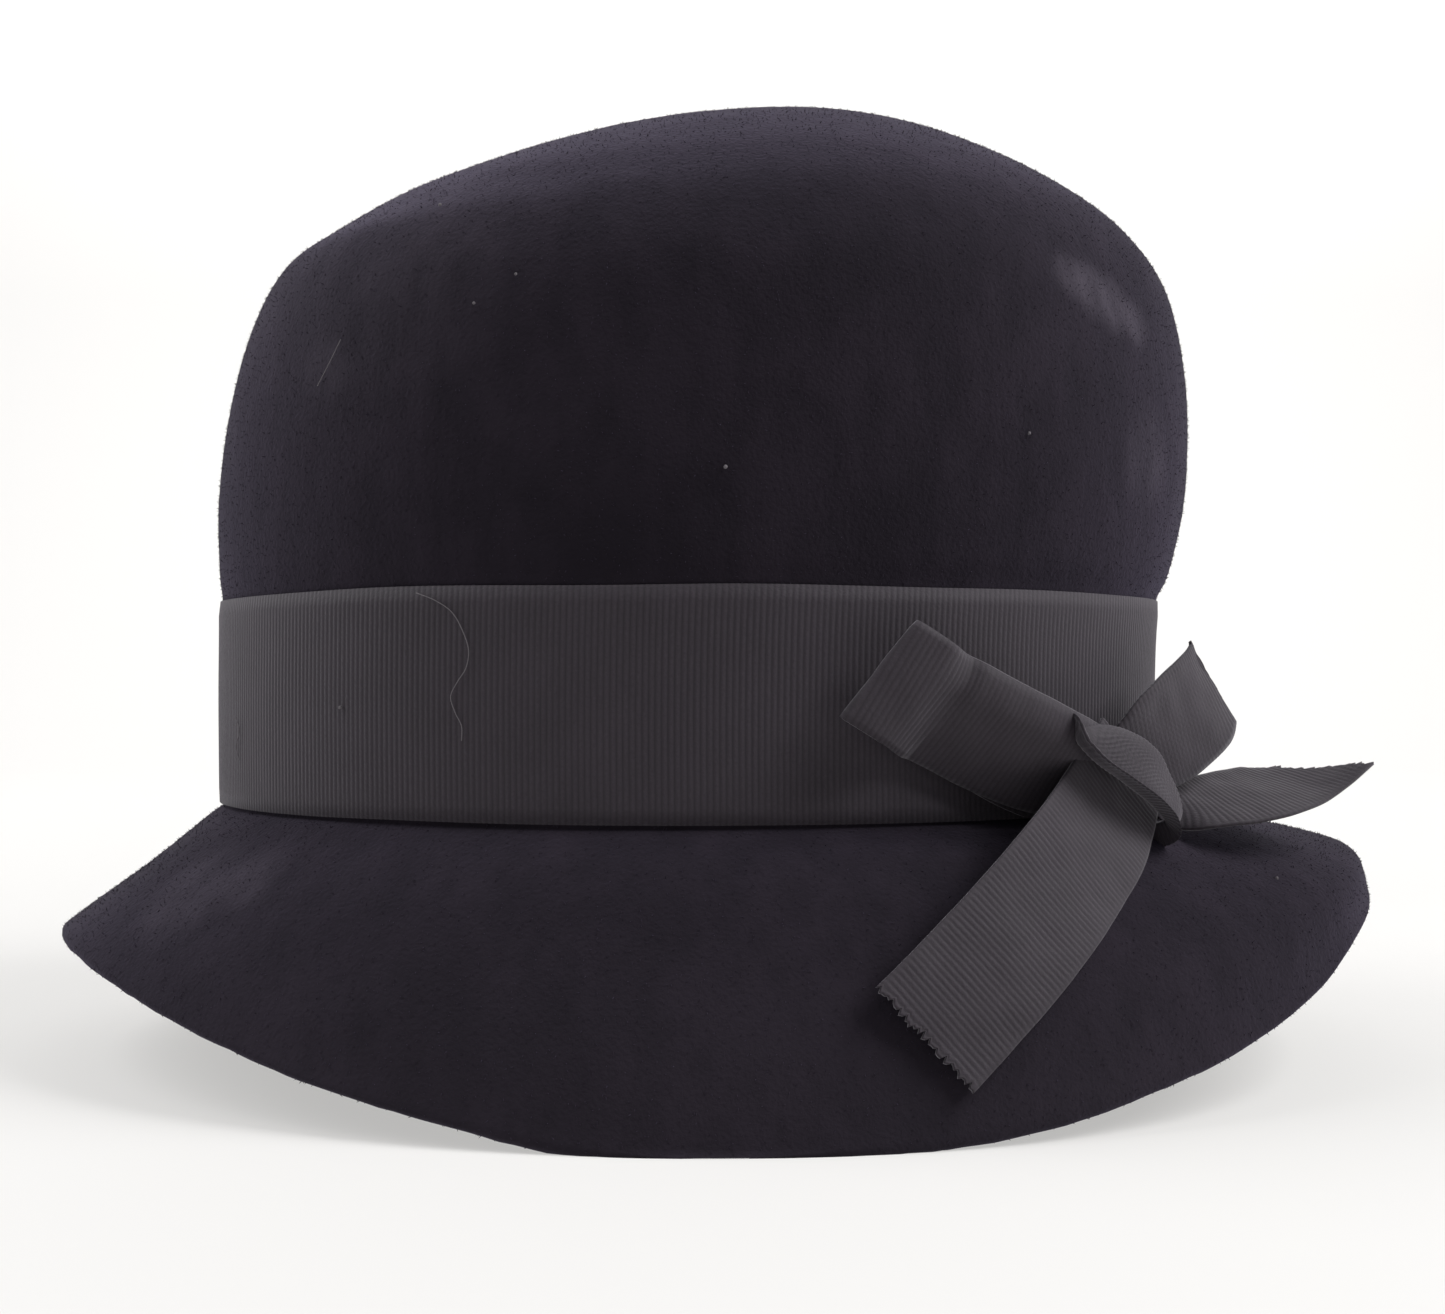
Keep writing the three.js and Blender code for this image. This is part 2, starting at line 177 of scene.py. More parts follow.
# The bow's ribbons: the path of the ribbon's middle along, up and off the band, as shares of
# its reach, the direction across it, and the share of its width left by the gathering
PATH = "at along up off cross_along cross_up cross_off wide"
FRONT_LOOP = table(
    PATH,
    (0.0, -0.1, 0.02, 0.0, 0.6, 0.8, 0.0, 0.7),
    (0.12, -0.25, 0.045, 0.0, 0.6, 0.8, 0.0, 0.85),
    (0.3, -0.6, 0.185, 0.02, 0.6, 0.78, 0.1, 0.78),
    (0.42, -0.87, 0.33, 0.08, 0.6, 0.75, 0.2, 0.85),
    (0.5, -1.0, 0.41, 0.16, 0.6, 0.75, 0.1, 0.93),
    (0.57, -0.88, 0.325, 0.2, 0.6, 0.75, 0.15, 0.93),
    (0.62, -0.785, 0.265, 0.165, 0.6, 0.76, 0.3, 0.93),
    (0.65, -0.73, 0.235, 0.155, 0.6, 0.77, 0.58, 0.93),
    (0.75, -0.52, 0.125, 0.165, 0.6, 0.78, 0.72, 0.93),
    (0.88, -0.28, 0.035, 0.175, 0.6, 0.8, 0.55, 0.84),
    (1.0, -0.1, 0.0, 0.16, 0.6, 0.8, 0.2, 0.64),
)
BACK_LOOP = table(
    PATH,
    (0.0, 0.12, 0.06, 0.14, -0.68, 0.73, 0.0, 0.6),
    (0.2, 0.38, 0.19, 0.25, -0.68, 0.73, -0.05, 0.68),
    (0.38, 0.775, 0.42, 0.36, -0.64, 0.73, -0.2, 0.78),
    (0.475, 0.885, 0.555, 0.408, -0.62, 0.73, -0.25, 0.84),
    (0.5, 0.893, 0.575, 0.42, -0.62, 0.73, -0.25, 0.88),
    (0.525, 0.88, 0.56, 0.432, -0.62, 0.73, -0.25, 0.91),
    (0.62, 0.74, 0.455, 0.43, -0.64, 0.73, -0.2, 0.98),
    (0.8, 0.38, 0.23, 0.34, -0.68, 0.73, -0.05, 0.98),
    (1.0, 0.12, 0.06, 0.25, -0.68, 0.73, 0.0, 0.7),
)
FRONT_TAIL = table(
    PATH,
    (0.0, 0.05, 0.05, 0.135, -0.7, 0.7, -0.1, 0.96),
    (0.2, -0.092, -0.07, 0.19, -0.67, 0.71, -0.2, 1.0),
    (0.5, -0.368, -0.28, 0.31, -0.62, 0.76, -0.25, 1.0),
    (0.8, -0.612, -0.5, 0.39, -0.61, 0.78, -0.25, 1.0),
    (1.0, -0.745, -0.625, 0.43, -0.66, 0.75, -0.28, 1.0),
)
BACK_TAIL = table(
    PATH,
    (0.0, 0.29, -0.135, 0.12, 0.1, 0.6, -0.8, 0.42),
    (0.3, 0.38, -0.12, 0.26, 0.35, 0.45, -0.8, 0.7),
    (0.6, 0.57, -0.085, 0.42, 0.48, 0.36, -0.78, 0.93),
    (0.85, 0.73, -0.04, 0.54, 0.35, 0.2, -0.9, 0.93),
    (1.0, 0.81, 0.01, 0.62, 0.11, -0.07, -0.99, 0.93),
)
KNOT = table(
    PATH,
    (-0.12, -0.235, 0.265, 0.2, 1.0, 0.02, 0.0, 0.78),
    (0.0, -0.255, 0.25, 0.33, 1.0, 0.0, 0.0, 1.02),
    (0.2, -0.18, 0.16, 0.39, 1.0, 0.05, 0.0, 1.06),
    (0.45, -0.04, 0.03, 0.42, 1.0, 0.05, -0.05, 0.9),
    (0.8, 0.15, -0.145, 0.43, 1.0, 0.1, -0.1, 0.56),
    (1.0, 0.245, -0.24, 0.39, 1.0, 0.15, -0.15, 0.38),
    (1.12, 0.27, -0.29, 0.26, 1.0, 0.2, -0.2, 0.28),
)
# Metres of reach of each of those paths
REACH = {"front_loop": 0.045, "back_loop": 0.029, "front_tail": 0.06, "back_tail": 0.045,
         "knot": 0.033}
# Shallow dents in the crown: metres along and up, radius and depth
DENTS = ((0.075, 0.14, 0.02, 0.0011), (-0.02, 0.16, 0.03, 0.0005))


def smooth(rows, column, at):
    """A smooth curve through one column of a table"""
    x, y = rows["at"], rows[column]
    slope = np.empty_like(y)
    slope[1:-1] = (y[2:] - y[:-2]) / (x[2:] - x[:-2])
    slope[0] = (y[1] - y[0]) / (x[1] - x[0])
    slope[-1] = (y[-1] - y[-2]) / (x[-1] - x[-2])
    at = np.asarray(at, float)
    i = np.clip(np.searchsorted(x, at) - 1, 0, len(x) - 2)
    span = x[i + 1] - x[i]
    t = (at - x[i]) / span
    start = y[i] * (1 + 2 * t) * (1 - t) ** 2 + slope[i] * span * t * (1 - t) ** 2
    end = y[i + 1] * t * t * (3 - 2 * t) + slope[i + 1] * span * t * t * (t - 1)
    return start + end


def stack(x, y, z):
    return np.stack(np.broadcast_arrays(x, y, z), axis=-1)


def unit(vectors):
    return vectors / np.maximum(np.linalg.norm(vectors, axis=-1, keepdims=True), 1e-12)


def crown_point(size, at, turn):
    """The outside of the crown, from the brim line at 0 to the top at 1"""
    rise = smooth(CROWN, "rise", at) + smooth(CROWN, "tilt", at) * np.cos(turn)
    along = smooth(CROWN, "shift", at) + smooth(CROWN, "length", at) * np.cos(turn)
    across = smooth(CROWN, "width", at) * np.sin(turn)
    return stack(along * size.crown_length / 2 - size.crown_forward,
                 across * size.crown_width / 2,
                 size.brim_line + rise * size.crown_height)


def brim_point(size, at, turn):
    """The outside of the brim, from the brim line at 0 to the edge at 1"""
    root = crown_point(size, np.zeros_like(at), turn)
    along, across = np.cos(turn), np.sin(turn)
    edge = stack(along * size.brim_length / 2, across * size.brim_width / 2,
                 smooth(EDGE, "lift", along) * size.brim_line)

    def blend(share):
        front = smooth(BRIM, "front_" + share, at)
        back = smooth(BRIM, "back_" + share, at)
        side = smooth(BRIM, "side_" + share, at)
        return np.where(along < 0, front, back) * along ** 2 + side * across ** 2

    out, down = blend("out")[..., None], blend("down")[..., None]
    share = np.concatenate([out, out, down], axis=-1)
    return root + (edge - root) * share


def hat_point(size, place, turn):
    """The outside of the hat from the edge, -1, over the brim line, 0, to the top, 1"""
    brim = brim_point(size, np.maximum(-place, 0), turn)
    crown = crown_point(size, np.maximum(place, 0), turn)
    return np.where((place < 0)[..., None], brim, crown)


def hat_normal(size, place, turn):
    low = np.maximum(place - PROBE, -1)
    high = np.minimum(place + PROBE, 1 - PROBE)
    up = hat_point(size, high, turn) - hat_point(size, low, turn)
    around = hat_point(size, low, turn + PROBE) - hat_point(size, low, turn - PROBE)
    return unit(np.cross(around, up))


def place_at(size, height):
    """The crown's place at a height above the brim line"""
    places = np.linspace(0, 1, 4001)
    return np.interp(height, smooth(CROWN, "rise", places) * size.crown_height, places)


def outward(size, turn):
    """Straight out from the crown, level with the table"""
    return unit(stack(np.cos(turn) / size.crown_length, np.sin(turn) / size.crown_width, 0.0))


def band_point(size, up, turn, off):
    """A point above the brim line and off the bow's ground"""
    up, turn, off = np.broadcast_arrays(up, turn, off)
    point = crown_point(size, place_at(size, np.maximum(up, 0)), turn)
    point = point + outward(size, turn) * (size.band_stand + off)[..., None]
    point[..., 2] = size.brim_line + up
    return point


def oval(size):
    """Turns round the crown and the distance along the band to each of them"""
    turns = np.linspace(-2 * math.pi, 2 * math.pi, 8001)
    x, y = np.cos(turns) * size.crown_length / 2, np.sin(turns) * size.crown_width / 2
    steps = np.hypot(np.diff(x), np.diff(y))
    return turns, np.concatenate([[0], np.cumsum(steps)])


def turn_at(size, along):
    turns, lengths = oval(size)
    knot = np.interp(size.knot_turn, turns, lengths)
    return np.interp(knot + along, lengths, turns)


def rough(points, pitch, seed):
    """Smooth noise, about -1 to 1, at each point"""
    shift = Vector((seed * 7.3, seed * 3.1, seed * 5.7))
    flat = points.reshape(-1, 3) / pitch
    found = np.array([noise.noise(Vector(p) + shift) for p in flat])
    return found.reshape(points.shape[:-1])


def uneven(points, seed, *swells):
    """A sum of smooth swells, each given by its height and its pitch"""
    return sum(height * rough(points, pitch, seed + i)
               for i, (height, pitch) in enumerate(swells))


def grid_faces(rows, columns, closed):
    """Faces of a grid of points, closed round its columns or not"""
    wide = columns if closed else columns - 1
    r, c = np.meshgrid(np.arange(rows - 1), np.arange(wide), indexing="ij")
    n = (c + 1) % columns
    return np.stack([r * columns + c, r * columns + n, (r + 1) * columns + n,
                     (r + 1) * columns + c], axis=-1).reshape(-1, 4)


def fan(centre, first, ring, turned):
    """Triangles from one point to the ring of points that starts at first"""
    sides = [(first + k, first + (k + 1) % ring) for k in range(ring)]
    return [(centre, b, a) if turned else (centre, a, b) for a, b in sides]


def tube_faces(first, rows, ring):
    """Faces of a tube of rings of points, with one face at either end"""
    start = list(range(first, first + ring))
    end = [i + (rows - 1) * ring for i in start]
    return (grid_faces(rows, ring, True)[:, ::-1] + first).tolist() + [start, end[::-1]]


def new_mesh(name, points, faces, attributes=None):
    """A smooth-shaded object from points and faces, with numbers kept at its points"""
    mesh = bpy.data.meshes.new(name)
    mesh.from_pydata(np.asarray(points).reshape(-1, 3).tolist(), [],
                     [list(map(int, face)) for face in faces])
    for label, values in (attributes or {}).items():
        layer = mesh.attributes.new(label, "FLOAT", "POINT")
        layer.data.foreach_set("value", np.asarray(values, np.float32).ravel())
    mesh.shade_smooth()
    obj = bpy.data.objects.new(name, mesh)
    bpy.context.scene.collection.objects.link(obj)
    return obj


def add(tree, kind, inputs=None, **settings):
    """Adds one node. Inputs are values or other nodes' outputs, by socket name or number."""
    node = tree.nodes.new(kind)
    for key, value in settings.items():
        setattr(node, key, value)
    for key, value in (inputs or {}).items():
        if isinstance(value, bpy.types.NodeSocket):
            tree.links.new(value, node.inputs[key])
        else:
            node.inputs[key].default_value = value
    return node


def new_tree(name, *sockets):
    """A Geometry Nodes tree with a geometry in and out and its named inputs"""
    tree = bpy.data.node_groups.new(name, "GeometryNodeTree")
    tree.interface.new_socket("Geometry", in_out="OUTPUT", socket_type="NodeSocketGeometry")
    for label, kind in (("Geometry", "Geometry"), *sockets):
        tree.interface.new_socket(label, in_out="INPUT", socket_type="NodeSocket" + kind)
    return tree, add(tree, "NodeGroupInput")


def end_tree(tree, geometry, material):
    """Ends a tree in Realize Instances and Set Material"""
    real = add(tree, "GeometryNodeRealizeInstances", {"Geometry": geometry})
    painted = add(tree, "GeometryNodeSetMaterial",
                  {"Geometry": real.outputs[0], "Material": material})
    add(tree, "NodeGroupOutput", {"Geometry": painted.outputs[0]})
    return tree


def made_plain(obj, tree, name, values):
    """The result of a tree on an object, as a plain mesh of its own"""
    modifier = obj.modifiers.new("tree", "NODES")
    modifier.node_group = tree
    for item in tree.interface.items_tree:
        if item.in_out == "INPUT" and item.name in values:
            modifier[item.identifier] = values[item.name]
    graph = bpy.context.evaluated_depsgraph_get()
    mesh = bpy.data.meshes.new_from_object(
        obj.evaluated_get(graph), preserve_all_data_layers=True, depsgraph=graph)
    obj.modifiers.remove(modifier)
    mesh.name = name
    made = bpy.data.objects.new(name, mesh)
    bpy.context.scene.collection.objects.link(made)
    return made


def ribs_of(tree, place, pitch):
    """1 on the crest of every woven rib, 0 in the grooves between them"""
    made = add(tree, "ShaderNodeMath", {0: place, 1: pitch}, operation="DIVIDE")
    made = add(tree, "ShaderNodeMath", {0: made.outputs[0], 1: math.pi}, operation="MULTIPLY")
    made = add(tree, "ShaderNodeMath", {0: made.outputs[0]}, operation="SINE")
    return add(tree, "ShaderNodeMath", {0: made.outputs[0]}, operation="ABSOLUTE").outputs[0]


def rib_tree():
    """Woven ribs: the ribbon swells out along its faces at every rib"""
    tree, given = new_tree("Woven ribs", ("Rib pitch", "Float"), ("Rib depth", "Float"),
                           ("Material", "Material"))
    place = add(tree, "GeometryNodeInputNamedAttribute", {"Name": "rib_at"})
    weight = add(tree, "GeometryNodeInputNamedAttribute", {"Name": "rib_weight"})
    crest = ribs_of(tree, place.outputs[0], given.outputs["Rib pitch"])
    depth = add(tree, "ShaderNodeMath", {0: weight.outputs[0], 1: given.outputs["Rib depth"]},
                operation="MULTIPLY")
    swell = add(tree, "ShaderNodeMath", {0: crest, 1: depth.outputs[0]}, operation="MULTIPLY")
    normal = add(tree, "GeometryNodeInputNormal")
    offset = add(tree, "ShaderNodeVectorMath", {0: normal.outputs[0], "Scale": swell.outputs[0]},
                 operation="SCALE")
    moved = add(tree, "GeometryNodeSetPosition",
                {"Geometry": given.outputs["Geometry"], "Offset": offset.outputs[0]})
    return end_tree(tree, moved.outputs[0], given.outputs["Material"])


def fibre_tree():
    """Short fibres: slim spikes scattered over the faces whose nap attribute is 1"""
    tree, given = new_tree(
        "Short fibres", ("Density", "Float"), ("Length", "Float"), ("Width", "Float"),
        ("Lean", "Float"), ("Seed", "Int"), ("Material", "Material"))
    nap = add(tree, "GeometryNodeInputNamedAttribute", {"Name": "nap"})
    density = add(tree, "ShaderNodeMath", {0: nap.outputs[0], 1: given.outputs["Density"]},
                  operation="MULTIPLY")
    points = add(tree, "GeometryNodeDistributePointsOnFaces",
                 {"Mesh": given.outputs["Geometry"], "Density": density.outputs[0],
                  "Seed": given.outputs["Seed"]})
    spike = add(tree, "GeometryNodeMeshCone",
                {"Vertices": 3, "Radius Bottom": given.outputs["Width"],
                 "Depth": given.outputs["Length"]})
    back = add(tree, "ShaderNodeMath", {0: given.outputs["Lean"], 1: -1.0}, operation="MULTIPLY")
    low = add(tree, "ShaderNodeCombineXYZ",
              {"X": back.outputs[0], "Y": back.outputs[0], "Z": -math.pi})
    high = add(tree, "ShaderNodeCombineXYZ",
               {"X": given.outputs["Lean"], "Y": given.outputs["Lean"], "Z": math.pi})
    swing = add(tree, "FunctionNodeRandomValue",
                {"Min": low.outputs[0], "Max": high.outputs[0], "Seed": given.outputs["Seed"]},
                data_type="FLOAT_VECTOR")
    turn = add(tree, "FunctionNodeEulerToRotation", {0: swing.outputs[0]})
    leaning = add(tree, "FunctionNodeRotateRotation",
                  {0: points.outputs["Rotation"], 1: turn.outputs[0]}, rotation_space="LOCAL")
    scale = add(tree, "FunctionNodeRandomValue",
                {2: 0.45, 3: 1.0, "Seed": given.outputs["Seed"]})
    placed = add(tree, "GeometryNodeInstanceOnPoints",
                 {"Points": points.outputs["Points"], "Instance": spike.outputs["Mesh"],
                  "Rotation": leaning.outputs[0], "Scale": scale.outputs[1]})
    return end_tree(tree, placed.outputs[0], given.outputs["Material"])


def new_material(name, **surface):
    """A material with its surface's plain values set on the shader's own sockets"""
    material = bpy.data.materials.new(name)
    material.use_nodes = True
    shader = material.node_tree.nodes["Principled BSDF"]
    for label, value in surface.items():
        shader.inputs[label.replace("_", " ")].default_value = value
    return material, material.node_tree, shader


def noise_of(tree, where, pitch, detail=2.0, stretch=(1, 1, 1)):
    """Noise whose lumps are about one pitch across, in metres"""
    scaled = add(tree, "ShaderNodeMapping", {"Vector": where, "Scale": stretch})
    made = add(tree, "ShaderNodeTexNoise",
               {"Vector": scaled.outputs[0], "Scale": 1 / pitch, "Detail": detail})
    return made.outputs[0]


def patch_of(tree, where, centre, radius):
    """1 in the inner quarter of a round patch, falling softly to 0 at its rim"""
    gap = add(tree, "ShaderNodeVectorMath", {0: where, 1: centre}, operation="DISTANCE")
    return add(tree, "ShaderNodeMapRange",
               {"Value": gap.outputs["Value"], "From Min": radius / 4, "From Max": radius,
                "To Min": 1.0, "To Max": 0.0}, interpolation_type="SMOOTHSTEP").outputs[0]


# Patches on the side of the bow painted paler: metres along and up, the radius
# and how strongly. The first four make the one streak; these and the next four are where the nap is
# rubbed paler. The last is wide and faint: a painted sheen on the crown's upper left.
RUBBED_AND_SHEEN = (
    (0.062, 0.1422, 0.006, 0.8), (0.067, 0.1405, 0.0075, 1.12), (0.072, 0.1385, 0.0075, 1.12),
    (0.077, 0.1362, 0.006, 0.96), (0.079, 0.112, 0.012, 0.48), (-0.068, 0.126, 0.008, 0.4),
    (-0.092, 0.034, 0.015, 0.56), (-0.08, 0.037, 0.01, 0.48), (-0.062, 0.15, 0.045, 0.336),
)


def felt_material(size, colours):
    """Velour felt: fur felt with its nap raised and brushed, so it is nearly black face on and
    shows a soft bluish sheen along its edges"""
    material, tree, shader = new_material(
        "velour_felt_brushed", Roughness=0.95, Specular_IOR_Level=0.12, Sheen_Weight=0.25,
        Sheen_Roughness=0.5, Sheen_Tint=(*colours.felt_sheen, 1))
    where = add(tree, "ShaderNodeTexCoord").outputs["Object"]
    # Tufts of the nap are 0.4 mm across, drawn as 0.7 mm so that they show
    tufts = noise_of(tree, where, 0.0007, 3.0)
    strokes = noise_of(tree, where, 0.006, 3.0, (1.0, 1.0, 0.45))
    clouds = noise_of(tree, where, 0.03)
    both = add(tree, "ShaderNodeMath", {0: strokes, 1: clouds}, operation="MULTIPLY").outputs[0]
    tone = add(tree, "ShaderNodeMath", {0: tufts, 1: both, 2: both}, operation="MULTIPLY_ADD")
    share = add(tree, "ShaderNodeMapRange",
                {"Value": tone.outputs[0], "From Min": 0.2, "From Max": 0.55})
    colour = add(tree, "ShaderNodeMix", {0: share.outputs[0], 6: (*colours.felt_deep, 1),
                                         7: (*colours.felt_raised, 1)}, data_type="RGBA")
    paler = []
    # Each patch paints the felt paler: rubbed nap, and at the last patch a painted sheen
    for along, up, radius, strength in RUBBED_AND_SHEEN:
        patch = patch_of(tree, where, front_point(size, along, up), radius)
        patchy = add(tree, "ShaderNodeMath", {0: patch, 1: strokes}, operation="MULTIPLY")
        paler.append(add(tree, "ShaderNodeMath", {0: patchy.outputs[0], 1: strength},
                         operation="MULTIPLY", use_clamp=True))
    # The felt is a little paler toward the foot of the brim too: painted light, standing in for the
    # light bounced up from the floor
    height = add(tree, "ShaderNodeSeparateXYZ", {0: where}).outputs["Z"]
    paler.append(add(tree, "ShaderNodeMapRange", {
        "Value": height, "From Min": 0.034, "From Max": 0.008, "To Min": 0.0, "To Max": 0.1}))
    # Each share mixes in the paler felt colour: rubbed nap, a painted sheen and painted light
    for share in paler:
        colour = add(tree, "ShaderNodeMix", {0: share.outputs[0], 6: colour.outputs[2],
                                             7: (*colours.felt_rubbed_and_lit, 1)}, data_type="RGBA")
    tree.links.new(colour.outputs[2], shader.inputs["Base Color"])
    bump = add(tree, "ShaderNodeBump", {"Height": tufts, "Strength": 0.45, "Distance": 0.0004})
    soft = add(tree, "ShaderNodeBump",
               {"Height": strokes, "Strength": 0.22, "Distance": 0.0012,
                "Normal": bump.outputs[0]})
    tree.links.new(soft.outputs[0], shader.inputs["Normal"])
    return material


def nap_material(colours):
    """Single fur fibres of the nap: thin and matt, catching light along their length"""
    return new_material(
        "fur_nap_fibres", Roughness=0.8, Specular_IOR_Level=0.05, Sheen_Weight=0.4,
        Sheen_Roughness=0.5, Sheen_Tint=(*colours.felt_sheen, 1),
        Base_Color=(*colours.nap_fibre, 1))[0]


def ribbon_material(size, colours):
    """Grosgrain: a ribbed rayon and cotton ribbon, matt, with a faint sheen along its ribs"""
    material, tree, shader = new_material(
        "grosgrain_ribbon_woven", Roughness=0.72, Specular_IOR_Level=0.25, Sheen_Weight=0.28,
        Sheen_Roughness=0.45, Sheen_Tint=(*colours.ribbon_sheen, 1))
    where = add(tree, "ShaderNodeTexCoord").outputs["Object"]
    along = add(tree, "ShaderNodeAttribute", attribute_name="rib_at").outputs["Fac"]
    crest = ribs_of(tree, along, size.rib_pitch)
    # Warp threads are 0.15 mm apart, drawn as 0.5 mm grain so that they show
    grain = noise_of(tree, where, 0.0005)
    faded = noise_of(tree, where, 0.011)
    # The grooves take the darker colour and the rib crests the paler one: painted shade in the
    # grooves, varied at random by the grain and the faded noise
    tone = add(tree, "ShaderNodeMath", {0: crest, 1: grain}, operation="MULTIPLY")
    share = add(tree, "ShaderNodeMath", {0: faded, 1: 0.5, 2: tone.outputs[0]},
                operation="MULTIPLY_ADD", use_clamp=True)
    colour = add(tree, "ShaderNodeMix", {0: share.outputs[0], 6: (*colours.ribbon_groove_shade, 1),
                                         7: (*colours.ribbon_rib, 1)}, data_type="RGBA")
    tree.links.new(colour.outputs[2], shader.inputs["Base Color"])
    bump = add(tree, "ShaderNodeBump", {"Height": grain, "Strength": 0.35, "Distance": 0.0002})
    tree.links.new(bump.outputs[0], shader.inputs["Normal"])
    return material


def lint_material(colours):
    """Cotton lint and stray hairs: pale, thin and matt"""
    return new_material("cotton_lint_loose", Roughness=0.9, Specular_IOR_Level=0.2,
                        Base_Color=(*colours.lint, 1))[0]


def front_point(size, along, up, off=0.0):
    """The hat's outside at a distance along and a height, on the side of the bow. On the crown
    it can stand off the felt."""
    turns = np.linspace(-math.pi, 0, 721)
    if up >= size.brim_line:
        at = place_at(size, np.full_like(turns, up - size.brim_line))
        ring = crown_point(size, at, turns)
        nearest = int(np.argmin(np.abs(ring[:, 0] - along)))
        return tuple(map(float, ring[nearest] + outward(size, turns)[nearest] * off))
    places, angles = np.meshgrid(np.linspace(0, 1, 101), turns, indexing="ij")
    ring = brim_point(size, places, angles).reshape(-1, 3)
    away = (ring[:, 0] - along) ** 2 + (ring[:, 2] - up) ** 2
    return tuple(map(float, ring[int(np.argmin(away))]))


def dress(obj, slot, material, *nodes):
    """Puts a finished piece on the frame"""
    if material is not None:
        obj.data.materials.clear()
        obj.data.materials.append(material)
    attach(obj, "root")
    if nodes:
        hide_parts(*nodes)


class HAT_OT_felt(bpy.types.Operator):
    """Make the felt body: crown and brim as one wall with a soft uneven edge"""
    bl_idname = "hat.felt"
    bl_label = "Felt body"

    def execute(self, context):
        size, colours = context.scene.hat_sizes, context.scene.hat_colours
        columns = 320
        turns = 2 * math.pi * np.arange(columns) / columns
        # The outside is meshed finely for its swells, the hidden inside coarsely
        outer = np.concatenate([np.linspace(TOP_RING, 0, 125), np.linspace(0, -1, 75)[1:]])
        inner = np.concatenate([np.linspace(-1, 0, 22)[:-1], np.linspace(0, TOP_RING, 34)])
        place, turn = np.meshgrid(outer, turns, indexing="ij")
        shell = hat_point(size, place, turn)
        normal = hat_normal(size, place, turn)
        swell = uneven(shell, 1, (0.0005, 0.045), (0.00012, 0.012), (0.00004, 0.003))
        for along, up, radius, depth in DENTS:
            gap = np.linalg.norm(shell - np.array(front_point(size, along, up)), axis=-1)
            swell -= depth * np.exp(-(gap / radius) ** 2)
        # Under the band, from place 0 to 0.2, the felt stays even
        bare = np.clip((np.abs(place - 0.1) - 0.1) / 0.05, 0, 1)
        shell = shell + normal * (swell * bare)[..., None]
        place_in, turn_in = np.meshgrid(inner, turns, indexing="ij")
        lining = hat_point(size, place_in, turn_in)
        lining = lining - hat_normal(size, place_in, turn_in) * size.felt_wall
        edge_turn = turns[None, :]
        edge = hat_point(size, np.full_like(edge_turn, -1.0), edge_turn)
        edge_normal = hat_normal(size, np.full_like(edge_turn, -1.0), edge_turn)
        fall = unit(edge - hat_point(size, np.full_like(edge_turn, PROBE - 1), edge_turn))
        # The cut edge is rolled round in five rings
        rolls = []
        for step in range(1, 6):
            angle = math.pi * step / 6
            depth = size.felt_wall / 2 * (1 - math.cos(angle))
            rolls.append(edge - edge_normal * depth
                         + fall * size.felt_wall * 0.42 * math.sin(angle))
        rings = np.concatenate([shell] + rolls + [lining])
        patchy = uneven(rings, 4, (0.0003, 0.016), (0.00018, 0.004))
        near_edge = np.exp(-np.abs(np.arange(len(rings)) - len(outer) - 2) / 3.0)[:, None]
        rings = rings + fall * (patchy * near_edge)[..., None]
        rings[..., 2] = np.maximum(rings[..., 2], 0)
        faces = grid_faces(len(rings), columns, True)[:, ::-1]
        points = rings.reshape(-1, 3)
        crown_top = crown_point(size, np.array([1.0]), np.array([0.0]))
        inner_top = crown_top - np.array([[0, 0, size.felt_wall]])
        last = len(points)
        points = np.concatenate([points, crown_top, inner_top])
        caps = fan(last, 0, columns, False) + fan(last + 1, last - columns, columns, True)
        # No nap grows inside, or so low that it would pass through the table
        clear = points[:, 2] > 1.5 * size.nap_length
        rank = np.arange(len(points)) // columns
        crown_rows = len(outer[outer >= 0])
        nap = (rank < crown_rows) * 1.0
        brim = ((rank >= crown_rows) & (rank < len(outer) + 3) & clear) * 1.0
        body = new_mesh("velour_felt_body", points, list(faces) + caps,
                        {"nap_crown": nap, "nap_brim": brim})
        dress(body, "felt", felt_material(size, colours), "felt_body")
        return {"FINISHED"}


class HAT_OT_nap(bpy.types.Operator):
    """Scatter the raised nap over the crown and the brim"""
    bl_idname = "hat.nap"
    bl_label = "Nap fibres"

    def execute(self, context):
        size, colours = context.scene.hat_sizes, context.scene.hat_colours
        body = bpy.data.objects["velour_felt_body"]
        tree = fibre_tree()
        fibres = nap_material(colours)
        for seed, (label, part) in enumerate((("crown", "nap_crown"), ("brim", "nap_brim"))):
            ground = body.copy()
            ground.data = body.data.copy()
            ground.parent = None
            context.scene.collection.objects.link(ground)
            ground.data.attributes[part].name = "nap"
            made = made_plain(ground, tree, "nap_fibres_" + label, {
                "Density": NAP_DENSITY, "Length": size.nap_length, "Width": size.nap_width,
                "Lean": NAP_LEAN, "Seed": NAP_SEED + seed, "Material": fibres})
            bpy.data.objects.remove(ground)
            dress(made, "felt", fibres)
        return {"FINISHED"}


def ribbed(name, points, faces, rib_at, rib_weight):
    """A ribbon's plain mesh with its woven ribs raised, in the one material of all ribbons"""
    size, colours = bpy.context.scene.hat_sizes, bpy.context.scene.hat_colours
    ground = new_mesh(name + "_ground", points, faces,
                      {"rib_at": rib_at, "rib_weight": rib_weight})
    tree = bpy.data.node_groups.get("Woven ribs") or rib_tree()
    look = bpy.data.materials.get("grosgrain_ribbon_woven") or ribbon_material(size, colours)
    made = made_plain(ground, tree, name, {
        "Rib pitch": size.rib_pitch, "Rib depth": size.rib_depth, "Material": look})
    bpy.data.objects.remove(ground)
    made.data.shade_smooth()
    return made


